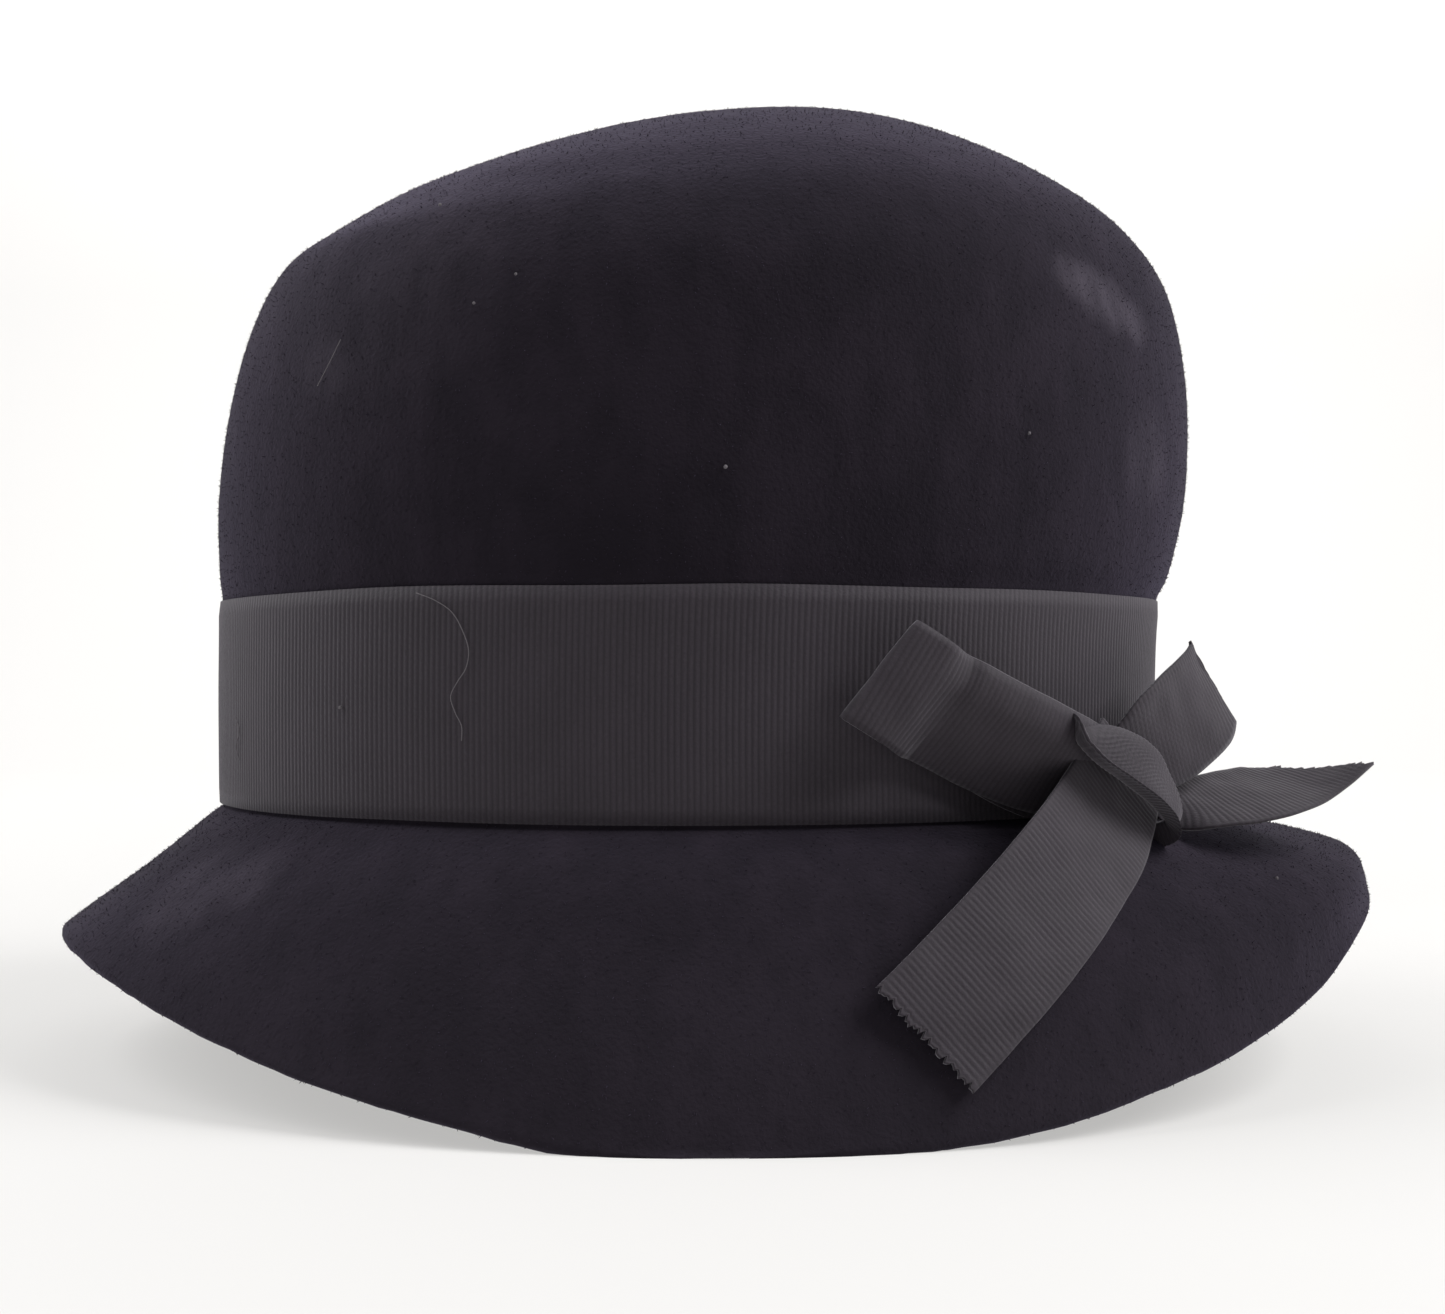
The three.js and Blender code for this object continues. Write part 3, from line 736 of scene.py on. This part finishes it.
class HAT_OT_band(bpy.types.Operator):
    """Make the wide ribbed ribbon round the foot of the crown"""
    bl_idname = "hat.band"
    bl_label = "Hatband"

    def execute(self, context):
        size = context.scene.hat_sizes
        turns, lengths = oval(size)
        start = np.interp(0, turns, lengths)
        end = np.interp(2 * math.pi, turns, lengths)
        ribs = round((end - start) / size.rib_pitch)
        rows = 15
        columns = ribs * RIB_STEPS
        along = np.arange(columns) / columns
        turn = np.interp(start + (end - start) * along, lengths, turns)
        foot, head = 0.0006, size.band_height
        up = np.linspace(foot, head, rows)
        lift, around = np.meshgrid(up, turn, indexing="ij")
        circle = stack(np.cos(around) * 0.09, np.sin(around) * 0.075, lift * 0.5)
        wave = rough(circle, 0.035, 6)
        # Its edges wave, and the upper one is drawn in toward the felt
        edge_wave = 0.0004 * wave * np.abs(lift / head - 0.5) * 2
        pinch = np.exp(-((head - lift) / 0.0015) ** 2) * 0.00025
        off = -0.0006 + 0.00022 * wave - pinch
        outer = band_point(size, lift + edge_wave, around, off)
        inner = band_point(size, lift + edge_wave, around, off - size.ribbon_thickness)
        inner = inner[[0, rows // 2, rows - 1]]
        rings = np.concatenate([inner, outer[::-1]])
        selvedge = np.clip(np.minimum(lift - foot, head - lift) / 0.0012, 0.25, 1)
        weight = np.concatenate([np.zeros_like(inner[..., 0]), selvedge[::-1]])
        rib_at = np.broadcast_to(along * ribs * size.rib_pitch, weight.shape)
        # The last ring of points joins the first
        faces = (grid_faces(len(rings) + 1, columns, True) % (len(rings) * columns))[:, ::-1]
        band = ribbed("grosgrain_hatband", rings, faces, rib_at, weight)
        dress(band, "ribbon", None, "hatband")
        return {"FINISHED"}


def ribbon_path(size, rows, reach, at):
    """The middle of a bow ribbon and the direction across it"""
    turn = turn_at(size, smooth(rows, "along", at) * reach)
    off = size.ribbon_thickness / 2 + 0.0004 + smooth(rows, "off", at) * reach
    middle = band_point(size, size.knot_rise + smooth(rows, "up", at) * reach, turn, off)
    out = outward(size, turn)
    side = stack(-out[..., 1], out[..., 0], 0.0)
    cross = side * smooth(rows, "cross_along", at)[..., None]
    cross = cross + out * smooth(rows, "cross_off", at)[..., None]
    cross[..., 2] = smooth(rows, "cross_up", at)
    return middle, unit(cross)


def ribbon_frame(size, rows, reach, width, at):
    """Middle, half width, path direction and face direction at each place along a ribbon"""
    low, high = rows["at"][0], rows["at"][-1]
    middle, cross = ribbon_path(size, rows, reach, at)
    before, _ = ribbon_path(size, rows, reach, np.maximum(at - PROBE, low))
    after, _ = ribbon_path(size, rows, reach, np.minimum(at + PROBE, high))
    path = unit(after - before)
    square = cross - path * np.sum(cross * path, axis=-1, keepdims=True)
    wide = width * smooth(rows, "wide", at)[:, None] / 2
    half = cross * wide / np.linalg.norm(square, axis=-1, keepdims=True)
    return middle, half, path, unit(np.cross(cross, path))


def run_of(line):
    """The distance along a line to each of its points"""
    return np.concatenate([[0], np.cumsum(np.linalg.norm(np.diff(line, axis=0), axis=1))])


def rib_places(run, half, path, share):
    """How far along a ribbon its points are, measured square to its ribs"""
    lean = np.sum(half * path, axis=-1)
    return run[:, None] + lean[:, None] * share[None, :] + RIB_START


def closed_strip(grid_a, grid_b):
    """Points and faces of a strip between two faces, with its rim closed"""
    steps, across = grid_a.shape[:2]
    rings = np.concatenate([grid_a, grid_b[:, ::-1]], axis=1)
    faces = [list(f) for f in grid_faces(steps, 2 * across, True)]
    for first in (0, steps - 1):
        base = first * 2 * across
        for j in range(across - 1):
            a, b = base + j, base + j + 1
            c, d = base + 2 * across - 2 - j, base + 2 * across - 1 - j
            faces.append([a, b, c, d] if first else [a, d, c, b])
    return rings, faces


def bow_ribbon(context, name, rows, reach, node, seed, curl=0.0, cut=False):
    """One ribbon of the bow through its table, with its folds, its ribs and its cut end"""
    size = context.scene.hat_sizes
    fine = np.linspace(0, 1, 801)
    line, _ = ribbon_path(size, rows, reach, fine)
    run = run_of(line)
    steps = int(run[-1] / size.rib_pitch * RIB_STEPS)
    distance = np.linspace(0, run[-1], steps)
    at = np.interp(distance, run, fine)
    middle, half, path, face = ribbon_frame(size, rows, reach, size.ribbon_width, at)
    across = 49 if cut else 17
    share = np.linspace(-1, 1, across)
    points = middle[:, None] + half[:, None] * share[None, :, None]
    shape = uneven(points, seed, (0.0006, 0.014), (0.0002, 0.005))
    # The layer of a loop that lies outside curls up along its upper edge
    outer_layer = np.clip((at - 0.56) / 0.06, 0, 1)[:, None]
    shape = shape + curl * outer_layer * np.clip((share - 0.4) / 0.6, 0, 1)[None, :] ** 2
    points = points + face[:, None] * shape[..., None]
    if cut:
        # The cut end frays over its last 1.5 mm
        threads = np.random.default_rng(seed).normal(0, 0.00042, across)
        threads += 0.0005 * rough(points[-1], 0.004, seed + 2)
        near_end = np.clip((distance - run[-1] + 0.0015) / 0.0015, 0, 1)
        points = points + path[:, None] * (near_end[:, None] * threads[None, :])[..., None]
    thick = size.ribbon_thickness / 2
    front, back = points + face[:, None] * thick, points - face[:, None] * thick
    rings, faces = closed_strip(front, back)
    rib_one = rib_places(distance, half, path, share)
    # The ribs fade out at the selvedge
    edge = np.clip((1 - np.abs(share)) / 0.12, 0, 1)
    weight = np.broadcast_to(np.concatenate([edge, edge[::-1]]), rings.shape[:2])
    rib_at = np.concatenate([rib_one, rib_one[:, ::-1]], axis=1)
    made = ribbed(name, rings, faces, rib_at, weight)
    dress(made, "ribbon", None, node)


class HAT_OT_bow(bpy.types.Operator):
    """Make the bow's two loops and two cut tails"""
    bl_idname = "hat.bow"
    bl_label = "Bow loops and tails"

    def execute(self, context):
        bow_ribbon(context, "bow_loop_toward_front", FRONT_LOOP, REACH["front_loop"],
                   "bow_loop_front", seed=21, curl=0.003)
        bow_ribbon(context, "bow_loop_toward_back", BACK_LOOP, REACH["back_loop"],
                   "bow_loop_back", seed=24)
        bow_ribbon(context, "bow_tail_toward_front", FRONT_TAIL, REACH["front_tail"],
                   "bow_tail_front", seed=27, cut=True)
        bow_ribbon(context, "bow_tail_toward_back", BACK_TAIL, REACH["back_tail"],
                   "bow_tail_back", seed=30, cut=True)
        return {"FINISHED"}


class HAT_OT_knot(bpy.types.Operator):
    """Make the gathered strap that ties the bow, with rolled edges and pleats"""
    bl_idname = "hat.knot"
    bl_label = "Knot"

    def execute(self, context):
        size = context.scene.hat_sizes
        low, high = KNOT["at"][0], KNOT["at"][-1]
        steps, around = 230, 48
        at = np.linspace(low, high, steps)
        middle, half, path, face = ribbon_frame(size, KNOT, REACH["knot"], size.knot_width, at)
        # Its section is a flattened oval with one edge folded under and two pleats on its face
        angle = 2 * math.pi * np.arange(around) / around
        side = np.sign(np.cos(angle)) * np.abs(np.cos(angle)) ** 0.8
        rise = np.sign(np.sin(angle)) * np.abs(np.sin(angle)) ** 0.7
        rise = rise * (1 - 0.35 * side ** 2)
        drop = -2.1 * np.clip((-side - 0.8) / 0.15, 0, 1)
        groove = -0.32 * np.exp(-((side - 0.28) / 0.09) ** 2)
        groove += -0.2 * np.exp(-((side + 0.3) / 0.1) ** 2)
        groove = np.where(rise > 0, groove, 0)
        height = (rise * (0.85 - 0.25 * side) + drop + groove) * size.knot_thickness / 2
        points = (middle[:, None] + half[:, None] * side[None, :, None]
                  + face[:, None] * height[None, :, None])
        soft = uneven(points, 41, (0.0006, 0.009))
        points = points + face[:, None] * soft[..., None]
        faces = [list(f) for f in grid_faces(steps, around, True)]
        centre = np.stack([points[0].mean(axis=0), points[-1].mean(axis=0)])
        total = steps * around
        faces += fan(total, 0, around, True) + fan(total + 1, total - around, around, False)
        rib_at = rib_places(run_of(middle), half, path, side)
        rib_at = np.concatenate([rib_at.ravel(), [0, 0]])
        weight = np.concatenate([np.full(total, 0.9), [0, 0]])
        points = np.concatenate([points.reshape(-1, 3), centre])
        knot = ribbed("bow_knot_strap", points, faces, rib_at, weight)
        # Built facing inward, so that its ribs sink into the strap, it is now turned outward
        knot.data.flip_normals()
        dress(knot, "ribbon", None, "bow_knot")
        return {"FINISHED"}


# Lint on the side of the bow: metres along and up, and how wide the speck is
SPECKS = (
    (-0.0475, 0.1545, 0.0006), (-0.033, 0.1385, 0.0005), (-0.04, 0.134, 0.0005),
    (0.0015, 0.1057, 0.0007), (0.053, 0.1132, 0.0006), (-0.064, 0.0665, 0.0007),
    (0.099, 0.036, 0.0007),
)
# Loose hairs, by points along and up: a long and a short one on the band, and one on the crown
HAIRS = (
    ((-0.0497, 0.0858), (-0.0465, 0.0845), (-0.0437, 0.0825), (-0.0418, 0.0795),
     (-0.0408, 0.0762), (-0.0412, 0.0732), (-0.0426, 0.0708), (-0.0437, 0.0684),
     (-0.0432, 0.0658), (-0.0421, 0.0635), (-0.042, 0.061)),
    ((-0.0885, 0.0645), (-0.0872, 0.062), (-0.0882, 0.059), (-0.0875, 0.0565)),
    ((-0.0646, 0.1304), (-0.067, 0.1265), (-0.0693, 0.1226)),
)


class HAT_OT_lint(bpy.types.Operator):
    """Lay the few specks of lint and the loose hairs on the felt and the band"""
    bl_idname = "hat.lint"
    bl_label = "Lint"

    def execute(self, context):
        size, colours = context.scene.hat_sizes, context.scene.hat_colours
        material = lint_material(colours)
        band_top = size.brim_line + size.band_height
        points, faces = [], []
        rng = np.random.default_rng(5)
        ring, rows = 8, 5
        for along, up, wide in SPECKS:
            centre = np.array(front_point(size, along, up, 0.0012 if up < band_top else 0.0004))
            faces += tube_faces(len(points), rows, ring)
            for r in range(rows):
                tilt = math.pi * (r + 0.5) / rows
                for k in range(ring):
                    turn = 2 * math.pi * k / ring
                    way = np.array([math.sin(tilt) * math.cos(turn),
                                    0.6 * math.sin(tilt) * math.sin(turn), math.cos(tilt)])
                    points.append(centre + way * wide / 2 * rng.uniform(0.75, 1.2))
        dress(new_mesh("lint_specks", points, faces), None, material)
        count, around, radius = 60, 6, 0.00008
        tubes, faces = [], []
        for hair in HAIRS:
            knots = [front_point(size, a, u, 0.0012 if u < band_top else 0.0006)
                     for a, u in hair]
            rows = table("at x y z", *[(i, *p) for i, p in enumerate(knots)])
            fine = np.linspace(0, len(hair) - 1, count)
            line = stack(*[smooth(rows, axis, fine) for axis in "xyz"])
            path = unit(np.gradient(line, axis=0))
            side = unit(np.cross(path, np.array([0.0, 1.0, 0.0])))
            over = np.cross(side, path)
            angle = 2 * math.pi * np.arange(around) / around
            tube = line[:, None] + radius * (side[:, None] * np.cos(angle)[None, :, None]
                                             + over[:, None] * np.sin(angle)[None, :, None])
            faces += tube_faces(len(tubes) * count * around, count, around)
            tubes.append(tube)
        dress(new_mesh("lint_hairs", np.array(tubes), faces), None, material)
        return {"FINISHED"}


# The soft boxes: name, place, the point each is aimed at, width, height and watts
LIGHTS = (
    ("key", (0.85, -0.25, 0.9), (0, 0, 0.08), 0.7, 0.7, 16.0),
    ("left", (-0.85, 0.0, 0.85), (0, 0, 0.1), 0.8, 0.8, 9.5),
    ("backdrop_wash", (0, 0.5, 1.9), (0, 1.6, 1.75), 2.4, 0.8, 75.0),
)
# The camera's place in metres, its lens in millimetres and its upward shift
EYE = (0.0011, -0.375, 0.0695)
LENS = 45.1
SHIFT = 0.0228


def area_light(name, place, target, wide, tall, power):
    """One soft box, aimed at a point"""
    data = bpy.data.lights.new(name, "AREA")
    data.shape = "RECTANGLE"
    data.size, data.size_y = wide, tall
    data.energy = power
    light = bpy.data.objects.new(name, data)
    light.location = place
    light.rotation_euler = (Vector(target) - Vector(place)).to_track_quat("-Z", "Y").to_euler()
    bpy.context.scene.collection.objects.link(light)


class HAT_OT_stage(bpy.types.Operator):
    """Make the pale floor and backdrop, the soft light and the camera"""
    bl_idname = "hat.stage"
    bl_label = "Stage"

    def execute(self, context):
        scene = context.scene
        colours = scene.hat_colours
        # Floor and backdrop are one sheet that turns up behind the hat in a wide curve
        bend, back, front, tall, half = 0.5, 1.1, -2.0, 2.6, 3.0
        profile = [(front, 0.0), (back, 0.0)]
        for step in range(1, 25):
            angle = math.pi / 2 * step / 24
            profile.append((back + bend * math.sin(angle), bend * (1 - math.cos(angle))))
        profile.append((back + bend, tall))
        points = [(x, y, z) for y, z in profile for x in (-half, half)]
        faces = [[2 * i, 2 * i + 1, 2 * i + 3, 2 * i + 2] for i in range(len(profile) - 1)]
        backdrop = new_mesh("backdrop", points, faces)
        backdrop.data.materials.append(new_material(
            "matt_white_paper", Roughness=0.9, Specular_IOR_Level=0.1,
            Base_Color=(*colours.paper, 1), Emission_Color=(*colours.paper_glow, 1),
            Emission_Strength=0.5)[0])
        world = bpy.data.worlds.new("soft_white_room")
        world.use_nodes = True
        scene.world = world
        # The room is darker toward the camera and overhead, so the felt stays dark
        sky = world.node_tree
        way = add(sky, "ShaderNodeTexCoord").outputs["Generated"]
        parts = add(sky, "ShaderNodeSeparateXYZ", {0: way})
        side = add(sky, "ShaderNodeMapRange", {"Value": parts.outputs["Y"], "From Min": -0.7,
                                               "From Max": 0.4, "To Min": 0.165, "To Max": 0.7})
        above = add(sky, "ShaderNodeMapRange", {"Value": parts.outputs["Z"], "From Min": 0.3,
                                                "From Max": 1.0, "To Min": 1.0, "To Max": 0.4})
        lit = add(sky, "ShaderNodeMath", {0: side.outputs[0], 1: above.outputs[0]},
                  operation="MULTIPLY")
        # Seen straight, past the edge of the paper, the room is white
        seen = add(sky, "ShaderNodeLightPath").outputs["Is Camera Ray"]
        level = add(sky, "ShaderNodeMath", {0: lit.outputs[0], 1: seen}, operation="MAXIMUM")
        sky.nodes["Background"].inputs["Color"].default_value = (0.97, 0.975, 1, 1)
        sky.links.new(level.outputs[0], sky.nodes["Background"].inputs["Strength"])
        for light in LIGHTS:
            area_light(*light)
        camera = bpy.data.cameras.new("camera")
        camera.sensor_width = 36.0
        camera.lens = LENS
        camera.shift_y = SHIFT
        camera.clip_start = 0.01
        eye = bpy.data.objects.new("camera", camera)
        eye.location = EYE
        eye.rotation_euler = (math.pi / 2, 0, 0)
        scene.collection.objects.link(eye)
        scene.camera = eye
        scene.view_settings.view_transform = "Standard"
        return {"FINISHED"}


class HAT_PT_parts(bpy.types.Panel):
    """The hat's pieces, sizes and colours"""
    bl_idname = "HAT_PT_parts"
    bl_label = "Velour hat"
    bl_space_type = "VIEW_3D"
    bl_region_type = "UI"
    bl_category = "Hat"

    def draw(self, context):
        layout = self.layout
        for group in (context.scene.hat_sizes, context.scene.hat_colours):
            box = layout.box()
            for name in group.__annotations__:
                box.prop(group, name)
        for operator in OPERATORS:
            layout.operator(operator.bl_idname)


OPERATORS = (HAT_OT_felt, HAT_OT_nap, HAT_OT_band, HAT_OT_bow, HAT_OT_knot, HAT_OT_lint,
             HAT_OT_stage)
CLASSES = (HatSizes, HatColours, *OPERATORS, HAT_PT_parts)


def register():
    for cls in CLASSES:
        bpy.utils.register_class(cls)
    bpy.types.Scene.hat_sizes = bpy.props.PointerProperty(type=HatSizes)
    bpy.types.Scene.hat_colours = bpy.props.PointerProperty(type=HatColours)


def unregister():
    del bpy.types.Scene.hat_colours
    del bpy.types.Scene.hat_sizes
    for cls in reversed(CLASSES):
        bpy.utils.unregister_class(cls)


def main():
    register()
    bpy.ops.hat.felt()
    bpy.ops.hat.nap()
    bpy.ops.hat.band()
    bpy.ops.hat.bow()
    bpy.ops.hat.knot()
    bpy.ops.hat.lint()
    bpy.ops.hat.stage()


if __name__ == "__main__":
    main()
